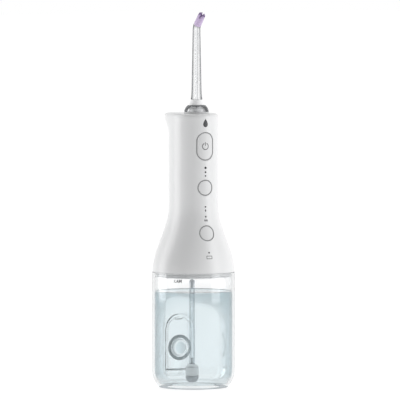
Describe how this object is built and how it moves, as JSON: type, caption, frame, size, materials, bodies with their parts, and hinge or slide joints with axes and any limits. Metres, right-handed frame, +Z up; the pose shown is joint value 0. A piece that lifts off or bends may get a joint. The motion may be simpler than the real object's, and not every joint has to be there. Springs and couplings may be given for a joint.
{
  "type": "water flosser",
  "caption": "Cordless water flosser with a clear tank, a white pump handle, press buttons and a clear jet nozzle with a soft bent tip.",
  "frame": {"origin": "centre of the tank's base, where it stands", "axes": "+Z up; the buttons face -Y and the tank's fill door faces +Y"},
  "size_m": [0.066, 0.066, 0.2985],
  "materials": {
    "clear_tank": "clear, polished",
    "clear_door": "clear, polished",
    "clear_nozzle": "clear, polished",
    "clear_hose": "soft, translucent",
    "soft_grey": "soft, satin",
    "soft_white": "soft, satin",
    "dark_seal": "satin",
    "white_shell": "glossy white",
    "white_cap": "glossy white",
    "white_key": "satin light grey",
    "white_inner": "satin white",
    "nozzle_white": "frosted white",
    "grey_plastic": "satin grey",
    "gear_plastic": "natural acetal",
    "light_guide": "dark, unlit",
    "soft_purple": "soft, translucent purple",
    "steel": "plain",
    "polished_steel": "polished",
    "motor_steel": "plated",
    "brass": "plain",
    "board": "green lacquer",
    "chip_black": "satin black",
    "cell_wrap": "blue shrink sleeve"
  },
  "bodies": {
    "tank": {"tank": "clear_tank", "fill_gasket": "soft_grey", "door_hinge_pin": "steel"},
    "door": {"fill_door": "clear_door", "fill_plug": "soft_white"},
    "handle": {"handle_shell": "white_shell", "top_cap": "white_cap", "dock_plate": "white_inner", "dock_screws": "steel", "dock_seal": "dark_seal", "suction_fitting": "white_inner", "suction_hose": "clear_hose", "drive_frame": "white_inner", "motor_can": "motor_steel", "gear_axle": "steel", "pump_body": "grey_plastic", "pump_head": "grey_plastic", "check_valves": "dark_seal", "inlet_tube": "clear_hose", "delivery_tube": "clear_hose", "inner_frame": "white_inner", "battery_cell": "cell_wrap", "battery_contacts": "steel", "main_board": "board", "board_components": "chip_black", "button_board": "board", "tact_switches": "chip_black", "button_membrane": "soft_grey", "charge_board": "board", "charge_socket": "steel", "nozzle_seat": "white_inner", "retaining_clip": "steel", "release_spring": "steel", "ring_clip": "steel", "intensity_lights": "light_guide", "mode_lights": "light_guide", "battery_light": "light_guide"},
    "pickup": {"pickup_cap": "white_inner", "pickup_weight": "polished_steel", "pickup_strainer": "grey_plastic"},
    "power_key": {"power_button": "white_key"},
    "intensity_key": {"intensity_button": "white_key"},
    "mode_key": {"mode_button": "white_key"},
    "release": {"release_button": "white_key", "release_slider": "white_inner"},
    "nozzle_ring": {"rotation_ring": "white_inner"},
    "nozzle": {"nozzle_core": "nozzle_white", "nozzle_skirt": "clear_nozzle", "nozzle_stem": "clear_nozzle", "nozzle_tip": "soft_purple", "nozzle_o_ring": "dark_seal"},
    "cover": {"port_cover": "soft_white"},
    "rotor": {"motor_shaft": "steel", "pinion": "brass"},
    "crank": {"drive_gear": "gear_plastic"},
    "plunger": {"piston_yoke": "gear_plastic", "piston": "grey_plastic"}
  },
  "joints": [
    {"name": "door_hinge", "type": "hinge", "parent": "tank", "child": "door", "pos_m": [0, 0.0299, 0.0122], "axis": [-1, 0, 0], "range_deg": [0, 95]},
    {"name": "handle_lift", "type": "slide", "parent": "tank", "child": "handle", "axis": [0, 0, 1], "range_m": [0, 0.1]},
    {"name": "pickup_swing", "type": "hinge", "parent": "handle", "child": "pickup", "pos_m": [-0.0012, 0, 0.085], "axis": [1, 0, 0], "range_deg": [-12, 12], "deforming": ["suction_hose"]},
    {"name": "power_press", "type": "slide", "parent": "handle", "child": "power_key", "axis": [0, 1, 0], "range_m": [0, 0.0005], "stiffness_N_per_m": 1200, "springref_m": -0.0004},
    {"name": "intensity_press", "type": "slide", "parent": "handle", "child": "intensity_key", "axis": [0, 1, 0], "range_m": [0, 0.0005], "stiffness_N_per_m": 1200, "springref_m": -0.0004},
    {"name": "mode_press", "type": "slide", "parent": "handle", "child": "mode_key", "axis": [0, 0.9707, -0.2403], "range_m": [0, 0.0005], "stiffness_N_per_m": 1200, "springref_m": -0.0004},
    {"name": "release_press", "type": "slide", "parent": "handle", "child": "release", "axis": [0, -1, 0], "range_m": [0, 0.002], "stiffness_N_per_m": 500, "springref_m": -0.0015, "deforming": ["release_spring"]},
    {"name": "nozzle_turn", "type": "hinge", "parent": "handle", "child": "nozzle_ring", "pos_m": [0, -0.006, 0.218], "axis": [0, 0, 1], "continuous": true},
    {"name": "nozzle_pull", "type": "slide", "parent": "nozzle_ring", "child": "nozzle", "axis": [0, 0, 1], "range_m": [0, 0.03]},
    {"name": "cover_hinge", "type": "hinge", "parent": "handle", "child": "cover", "pos_m": [0, 0.0311, 0.10315], "axis": [-1, 0, 0], "range_deg": [0, 100]},
    {"name": "gear_spin", "type": "hinge", "parent": "handle", "child": "crank", "pos_m": [0.007, -0.0014, 0.12355], "axis": [1, 0, 0], "continuous": true},
    {"name": "motor_spin", "type": "hinge", "parent": "handle", "child": "rotor", "pos_m": [0.007, 0.007, 0.109], "axis": [1, 0, 0], "continuous": true},
    {"name": "piston_stroke", "type": "slide", "parent": "handle", "child": "plunger", "axis": [0, 0, 1], "range_m": [-0.0025, 0.0025]}
  ],
  "couplings": [
    {"joint": "motor_spin", "follows": "gear_spin", "ratio": -3}
  ]
}
